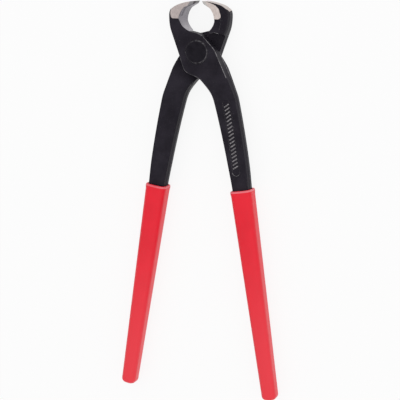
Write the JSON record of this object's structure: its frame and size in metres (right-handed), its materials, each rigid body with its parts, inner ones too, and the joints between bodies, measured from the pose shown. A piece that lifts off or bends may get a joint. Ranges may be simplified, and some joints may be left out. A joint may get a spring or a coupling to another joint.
{
  "type": "rebar tying pliers",
  "caption": "Long-handled end-cutting pliers for twisting and cutting rebar tie wire: crossed forged levers with a round mouth, a flush rivet and red dipped sleeves.",
  "frame": {"origin": "centre of the rivet's lower face, on the hinge axis", "axes": "+Y from the handles to the jaws, +Z along the hinge axis, up out of the side seen in the picture, +X to that side's right"},
  "size_m": [0.119, 0.2802, 0.0172],
  "materials": {
    "forged_steel": "black phosphated forging, satin, ground bright at the cutting edges",
    "rivet_steel": "black satin rivet head",
    "red_vinyl": "smooth dipped vinyl, half gloss"
  },
  "bodies": {
    "rear_side": {"rear_lever": "forged_steel", "pivot_rivet": "rivet_steel", "left_grip": "red_vinyl"},
    "front_side": {"front_lever": "forged_steel", "right_grip": "red_vinyl"}
  },
  "joints": [
    {"name": "pivot", "type": "hinge", "parent": "rear_side", "child": "front_side", "pos_m": [0, 0, 0.0086], "axis": [0, 0, 1], "range_deg": [-9.8, 20]}
  ]
}
